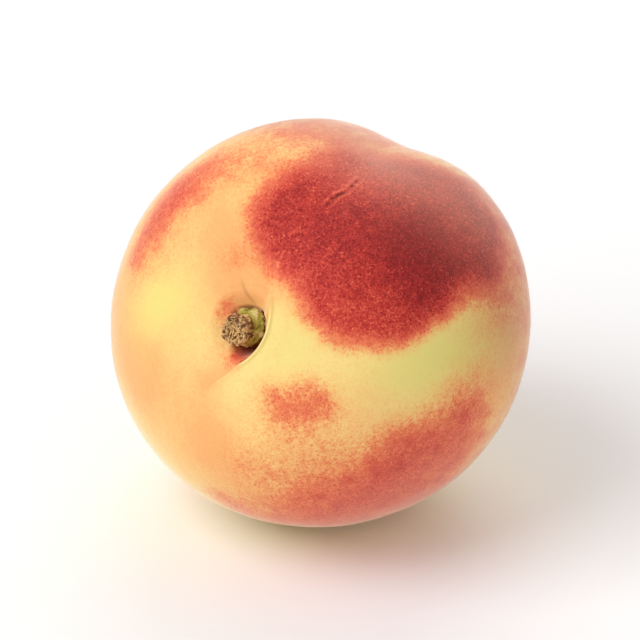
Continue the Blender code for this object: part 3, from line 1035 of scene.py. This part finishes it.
def fuzz_mesh(skin, settings):
    """Short hairs all over the skin, each a slim pyramid with a closed foot, leaning a little at random."""
    draw = np.random.default_rng(FUZZ_SEED)
    mesh = skin.data
    mesh.calc_loop_triangles()
    corners = rows_of(mesh.loop_triangles, "vertices", np.int64)
    world = rows_of(mesh.vertices, "co")
    normals = rows_of(mesh.vertices, "normal")
    a, b, c = (world[corners[:, k]] for k in range(3))
    areas = np.linalg.norm(np.cross(b - a, c - a), axis=1)
    own = places_of(skin)[corners].mean(1) / MM
    in_cavity = (np.hypot(own[:, 0], own[:, 1]) < BARE_REACH) & (own[:, 2] > STEM_END_LEVEL)
    on_flat = world[corners].mean(1)[:, 2] < BARE_HEIGHT
    areas[in_cavity | on_flat] = 0.0
    picked = draw.choice(len(areas), settings.hairs, p=areas / areas.sum())
    shares = draw.dirichlet((1.0, 1.0, 1.0), settings.hairs)[:, :, None]
    feet = (world[corners[picked]] * shares).sum(1)
    out = unit((normals[corners[picked]] * shares).sum(1))
    ways = unit(out + HAIR_SPREAD * draw.normal(size=feet.shape))
    ways = np.where((ways * out).sum(1)[:, None] < HAIR_LOWEST, out, ways)
    side = unit(np.cross(ways, draw.normal(size=feet.shape)))
    other = np.cross(ways, side)
    lengths = draw.uniform(settings.shortest, settings.longest, settings.hairs)[:, None]
    half = settings.thickness / 2.0
    turns = [2.0 * math.pi * number / HAIR_SIDES for number in range(HAIR_SIDES)]
    rows = [feet - out * half + half * (math.cos(turn) * side + math.sin(turn) * other) for turn in turns]
    points = np.stack(rows + [feet + ways * lengths], 1).reshape(-1, 3)
    first = np.arange(settings.hairs)[:, None, None] * (HAIR_SIDES + 1)
    fuzz = bpy.data.meshes.new("skin_fuzz")
    fuzz.from_pydata(points, [], (np.array(HAIR_FACES) + first).reshape(-1, 3))
    return fuzz


class PEACH_OT_fuzz(bpy.types.Operator):
    """Stand short pale hairs all over the fruit's skin"""

    bl_idname = "peach.fuzz"
    bl_label = "Fuzz"

    def execute(self, context):
        settings = context.scene.peach_fuzz
        fuzz = bpy.data.objects.new("skin_fuzz", fuzz_mesh(bpy.data.objects["fruit_skin"], settings))
        context.collection.objects.link(fuzz)
        look = {"Base Color": (*settings.color, 1.0), "Roughness": HAIR_ROUGHNESS}
        fuzz.data.materials.append(new_material("hair", look)[0])
        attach(fuzz, "root")
        return {"FINISHED"}


# Stem


STEM_FOOT = Vector((0.0004, 0.0003, 0.0273))  # on the cavity floor, in the fruit's own axes
STEM_LEAN = math.radians(160.0)
# Rings from foot to end: share of the length, radius in mm, sideways reach in mm
STEM_RINGS = (
    (0.00, 3.50, 0.00), (0.08, 3.55, 0.02), (0.16, 3.50, 0.06), (0.24, 3.60, 0.12), (0.32, 3.50, 0.22),
    (0.40, 3.42, 0.34), (0.47, 3.20, 0.46), (0.54, 2.86, 0.58), (0.61, 2.66, 0.71), (0.69, 2.70, 0.86),
    (0.78, 2.60, 1.04), (0.87, 2.64, 1.22), (0.94, 2.50, 1.38), (1.00, 2.32, 1.50),
)
STEM_SIDES = 24
# The torn end is sunk in steps: how far each lies inside the last, and how far it drops, in mm
STEM_END_STEPS = ((0.35, -0.10), (0.55, -0.35), (0.6, -0.15), (0.6, 0.12))
STEM_END_SLANT = 0.5  # mm that the end falls off towards the side it leans to
STEM_END_REACH = 2.8  # mm from its middle at which it does so
# Starts and spans are shares of the stub's length
SLANT_START = (0.3, 1.0)
BARK_FLANK = (1.8, 2.3)  # distances from the axis between which the relief sets in
# Ridges along the stub: height in mm, how many, and how far they twist
BARK_RIDGES = ((0.10, 5.0, 1.2), (0.07, 9.0, -2.0))
RIDGE_START = (0.05, 0.5)
WRINKLE_HEIGHT = 0.08
WRINKLE_TURNS = 38.0
WRINKLE_BENDS = ((1.9, 1.0, 0.0), (1.1, 2.0, math.pi / 2.0))
BARK_ROUGH = ((1.7, 31, 0.30), (0.6, 32, 0.14))
BARK_LIMITS = (-0.45, 0.35)  # mm
SWELLING_HEIGHT = 0.30
SWELLING_AZIMUTH = math.radians(20.0)
SWELLING_FOCUS = 1.5  # exponent: more keeps it to a narrower side
SWELLING_SPAN = (-0.1, 0.3, 0.42, 0.60)
TEAR = ((1.0, 33, 0.60), (0.45, 34, 0.34))
TEAR_STRETCH = (1.0, 1.0, 0.2)  # draws the tear's points out along the stub
TEAR_START = (0.82, 1.0)
TORN_SPAN = (0.62, 0.74)
TORN_WAVER = ((1.4, 35, 0.10),)
LIVING_SPAN = (0.32, 0.50)


def lean_way():
    """The direction in which the stub leans, sideways in the fruit's own axes."""
    return Vector((math.cos(STEM_LEAN), math.sin(STEM_LEAN), 0.0))


def lay_down(thing):
    """Move a piece from the fruit's own axes to the world's, and keep its place in its mesh."""
    select_only(thing)
    thing.matrix_world = fruit_matrix()
    bpy.ops.object.transform_apply(location=True, rotation=True, scale=True)


def put_in_order(thing):
    """Rebuild a mesh with its faces in a fixed order, because the tools leave them in a new one each run."""
    faces = []
    for face in thing.data.polygons:
        corners = list(face.vertices)
        first = corners.index(min(corners))
        faces.append(corners[first:] + corners[:first])
    places = [vertex.co.copy() for vertex in thing.data.vertices]
    thing.data.clear_geometry()
    thing.data.from_pydata(places, [], sorted(faces))


def bark_blank(settings):
    """The stub in the fruit's own axes, drawn up ring by ring from its foot."""
    bpy.ops.mesh.primitive_circle_add(vertices=STEM_SIDES, radius=STEM_RINGS[0][1] * MM, fill_type="NGON",
                                      location=STEM_FOOT)
    stem = bpy.context.object
    bpy.ops.object.transform_apply(location=True, rotation=True, scale=True)
    bpy.ops.object.mode_set(mode="EDIT")
    bpy.ops.mesh.select_all(action="SELECT")
    bpy.context.scene.tool_settings.transform_pivot_point = "MEDIAN_POINT"
    lean = lean_way() * MM
    for (share_a, radius_a, reach_a), (share_b, radius_b, reach_b) in zip(STEM_RINGS[:-1], STEM_RINGS[1:]):
        rise = Vector((0.0, 0.0, (share_b - share_a) * settings.length)) + lean * (reach_b - reach_a)
        bpy.ops.mesh.extrude_region_move(TRANSFORM_OT_translate={"value": rise})
        middle = STEM_FOOT + Vector((0.0, 0.0, share_b * settings.length)) + lean * reach_b
        wider = radius_b / radius_a
        bpy.ops.transform.resize(value=(wider, wider, 1.0), center_override=middle)
    for inset, drop in STEM_END_STEPS:
        bpy.ops.mesh.inset(thickness=inset * MM)
        bpy.ops.transform.translate(value=(0.0, 0.0, drop * MM))
    bpy.ops.mesh.select_all(action="SELECT")
    bpy.ops.mesh.normals_make_consistent(inside=False)
    bpy.ops.object.mode_set(mode="OBJECT")
    put_in_order(stem)
    return rename(stem, "stem_bark")


def bark_relief(places, share, azimuth):
    """Height in mm of the ridges along the stub, the wrinkles round it and its roughness."""
    ridges = sum(high * np.cos(count * azimuth + twist * share) for high, count, twist in BARK_RIDGES)
    bend = sum(far * np.sin(count * azimuth + start) for far, count, start in WRINKLE_BENDS)
    wrinkles = WRINKLE_HEIGHT * np.sin(share * WRINKLE_TURNS + bend)
    return ridges * smooth_step(share, *RIDGE_START) + wrinkles + noise_at(places, BARK_ROUGH)


def weather_bark(stem, settings):
    """Ridges along the stub, wrinkles round it, a swelling on one side and a ragged, broken rim."""
    places = rows_of(stem.data.vertices, "co") / MM
    share = (places[:, 2] - STEM_FOOT.z / MM) / (settings.length / MM)
    lean = np.array(lean_way())[:2]
    reach = np.interp(share, [row[0] for row in STEM_RINGS], [row[2] for row in STEM_RINGS])
    aside = places[:, :2] - reach[:, None] * lean
    radius = np.hypot(*aside.T)
    azimuth = np.arctan2(aside[:, 1], aside[:, 0])
    relief = bark_relief(places, share, azimuth)
    swelling = SWELLING_HEIGHT * np.maximum(np.cos(azimuth - SWELLING_AZIMUTH), 0.0) ** SWELLING_FOCUS
    lift = np.clip(relief, *BARK_LIMITS) + swelling * plateau(share, *SWELLING_SPAN)
    lift *= smooth_step(radius, *BARK_FLANK) / np.maximum(radius, TINY)
    moved = places.copy()
    moved[:, :2] += aside * lift[:, None]
    moved[:, 2] += smooth_step(share, *TEAR_START) * noise_at(places * TEAR_STRETCH, TEAR)
    moved[:, 2] -= STEM_END_SLANT * smooth_step(share, *SLANT_START) * (aside @ lean) / STEM_END_REACH
    stem.data.vertices.foreach_set("co", (moved * MM).ravel())
    stem.data.update()
    store(stem, "torn", smooth_step(share + noise_at(places, TORN_WAVER), *TORN_SPAN))
    store(stem, "living", smooth_step(share, *LIVING_SPAN))
    store(stem, "relief", 0.5 + relief)


FIBRE_SEED = 5
FIBRE_SIDES = 5
FIBRE_CUTS = (0.2, 0.4, 0.6, 0.8)
FIBRE_SPREAD = 2.3  # mm from the end's middle within which they stand
FIBRE_DEPTH = 0.6  # mm by which they are rooted below the end
FIBRE_LENGTHS = (0.7, 1.5)
FIBRE_WIDTHS = (0.12, 0.34)
FIBRE_FLATNESS = 0.6  # thickness as a share of the width
FIBRE_TAPER = 0.6  # share of the width that is lost towards the tip
FIBRE_TILT = 0.75  # how far they lean at random
FIBRE_BEND = 0.8  # how far they bend at random
FIBRE_SAG = -0.35  # how far they all bend down
FIBRE_BEND_SHARE = 0.5  # of their length, that the bend moves their tips


def fibre_blank():
    """A straight rod of length 1, cut across where it bends."""
    bpy.ops.mesh.primitive_cylinder_add(vertices=FIBRE_SIDES, radius=1.0, depth=1.0, end_fill_type="NGON",
                                        location=(0.0, 0.0, 0.5))
    bpy.ops.object.transform_apply(location=True, rotation=True, scale=True)
    bpy.ops.object.mode_set(mode="EDIT")
    for height in FIBRE_CUTS:
        bpy.ops.mesh.select_all(action="SELECT")
        bpy.ops.mesh.bisect(plane_co=(0.0, 0.0, height), plane_no=(0.0, 0.0, 1.0))
    bpy.ops.object.mode_set(mode="OBJECT")
    return bpy.context.object


def torn_fibres(settings):
    """Splinters of wood that stand on the torn end, each a tapered, bent copy of one rod."""
    blank = fibre_blank()
    draw = random.Random(FIBRE_SEED)
    top = STEM_FOOT / MM + Vector((0.0, 0.0, settings.length / MM)) + lean_way() * STEM_RINGS[-1][2]
    copies = []
    for _ in range(settings.fibres):
        spread = FIBRE_SPREAD * math.sqrt(draw.random())
        around = draw.uniform(-math.pi, math.pi)
        root = top + Vector((spread * math.cos(around), spread * math.sin(around), -FIBRE_DEPTH))
        root.z -= STEM_END_SLANT * spread / STEM_END_REACH * math.cos(around - STEM_LEAN)
        length = draw.uniform(*FIBRE_LENGTHS)
        thick = draw.uniform(*FIBRE_WIDTHS)
        tilt = Vector((draw.gauss(0.0, FIBRE_TILT), draw.gauss(0.0, FIBRE_TILT), 1.0)).normalized()
        bend = Vector((draw.gauss(0.0, FIBRE_BEND), draw.gauss(0.0, FIBRE_BEND), FIBRE_SAG))
        copy = blank.copy()
        copy.data = blank.data.copy()
        bpy.context.collection.objects.link(copy)
        turn = tilt.to_track_quat("Z", "Y").to_matrix()
        store(copy, "torn", [vertex.co.z for vertex in copy.data.vertices])
        for vertex in copy.data.vertices:
            share = vertex.co.z
            width = thick * (1.0 - FIBRE_TAPER * share ** 2)
            local = Vector((vertex.co.x * width, vertex.co.y * width * FIBRE_FLATNESS, share * length))
            vertex.co = (root + turn @ local + bend * length * FIBRE_BEND_SHARE * share ** 2) * MM
        copies.append(copy)
    bpy.data.objects.remove(blank)
    select_only(copies[0])
    for copy in copies:
        copy.select_set(True)
    bpy.ops.object.join()
    return rename(bpy.context.object, "stem_fibres")


class PEACH_OT_stem(bpy.types.Operator):
    """Model the stub of the stem with its wrinkled bark and torn end"""

    bl_idname = "peach.stem"
    bl_label = "Stem stub"

    def execute(self, context):
        settings = context.scene.peach_stem
        stem = bark_blank(settings)
        refine(stem)
        weather_bark(stem, settings)
        lay_down(stem)
        dress(stem, bark_material(settings))
        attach(stem, "root")
        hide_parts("stem")
        return {"FINISHED"}


class PEACH_OT_fibres(bpy.types.Operator):
    """Model the torn fibres on the end of the stem stub"""

    bl_idname = "peach.fibres"
    bl_label = "Torn fibres"

    def execute(self, context):
        settings = context.scene.peach_stem
        fibres = torn_fibres(settings)
        lay_down(fibres)
        dress(fibres, fibre_material(settings))
        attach(fibres, "root")
        return {"FINISHED"}


# Studio


LOOK_AT = Vector((0.0, 0.0, 0.0366))
CAMERA_LENS = 250.0
FLOOR_LOOK = {"Base Color": (*shade(249, 249, 249), 1.0), "Roughness": 0.9, "Specular IOR Level": 0.1}
# Soft square lights: place, side, and the setting that holds the power
LIGHTS = {
    "key_light": ((-0.75, -0.35, 0.95), 0.9, "key_power"),
    "back_light": ((0.15, 0.8, 0.8), 0.8, "back_power"),
    "fill_light": ((0.9, -0.6, 0.5), 0.9, "fill_power"),
}


class PEACH_OT_studio(bpy.types.Operator):
    """Set up the floor, the lights, the white room and the camera"""

    bl_idname = "peach.studio"
    bl_label = "Studio"

    def execute(self, context):
        settings = context.scene.peach_studio
        bpy.ops.mesh.primitive_plane_add(size=settings.floor_size)
        floor = bpy.context.object
        floor.name = "studio_floor"
        floor.data.materials.append(new_material("studio_floor", FLOOR_LOOK)[0])
        for name, (place, size, power) in LIGHTS.items():
            bpy.ops.object.light_add(type="AREA", location=place)
            light = bpy.context.object
            light.name = name
            light.data.size = size
            light.data.energy = getattr(settings, power)
            light.rotation_euler = (LOOK_AT - Vector(place)).to_track_quat("-Z", "Y").to_euler()
        world = bpy.data.worlds.new("white_room")
        world.use_nodes = True
        inputs = world.node_tree.nodes["Background"].inputs
        inputs["Color"].default_value = (1.0, 1.0, 1.0, 1.0)
        inputs["Strength"].default_value = settings.surround
        context.scene.world = world
        rise = settings.elevation
        place = LOOK_AT + settings.distance * Vector((0.0, -math.cos(rise), math.sin(rise)))
        bpy.ops.object.camera_add(location=place, rotation=(math.pi / 2.0 - rise, 0.0, 0.0))
        camera = bpy.context.object
        camera.name = "photo_camera"
        camera.data.lens = CAMERA_LENS
        context.scene.camera = camera
        context.scene.view_settings.view_transform = "Standard"
        return {"FINISHED"}


class PEACH_PT_sidebar(bpy.types.Panel):
    """The sizes and colours, and a button for each piece"""

    bl_idname = "PEACH_PT_sidebar"
    bl_label = "Peach"
    bl_space_type = "VIEW_3D"
    bl_region_type = "UI"
    bl_category = "Peach"

    def draw(self, context):
        for group, (_, operators) in GROUPS.items():
            settings = getattr(context.scene, group)
            box = self.layout.box()
            for name in settings.__annotations__:
                box.prop(settings, name)
            for operator in operators:
                box.operator(operator)


# The settings on the scene, and the buttons that use them
GROUPS = {
    "peach_skin": (PeachSkinSettings, ("peach.fruit",)),
    "peach_fuzz": (PeachFuzzSettings, ("peach.fuzz",)),
    "peach_stem": (PeachStemSettings, ("peach.stem", "peach.fibres")),
    "peach_studio": (PeachStudioSettings, ("peach.studio",)),
}
CLASSES = (
    PeachSkinSettings, PeachFuzzSettings, PeachStemSettings, PeachStudioSettings, PEACH_OT_fruit,
    PEACH_OT_fuzz, PEACH_OT_stem, PEACH_OT_fibres, PEACH_OT_studio, PEACH_PT_sidebar,
)


def register():
    """Register the classes and hang the settings on the scene."""
    for item in CLASSES:
        bpy.utils.register_class(item)
    for name, (group, _) in GROUPS.items():
        setattr(bpy.types.Scene, name, PointerProperty(type=group))


def unregister():
    """Take the settings off the scene and unregister the classes."""
    for name in GROUPS:
        delattr(bpy.types.Scene, name)
    for item in reversed(CLASSES):
        bpy.utils.unregister_class(item)


def main():
    """Make every piece."""
    register()
    bpy.ops.peach.fruit()
    bpy.ops.peach.fuzz()
    bpy.ops.peach.stem()
    bpy.ops.peach.fibres()
    bpy.ops.peach.studio()


if __name__ == "__main__":
    main()
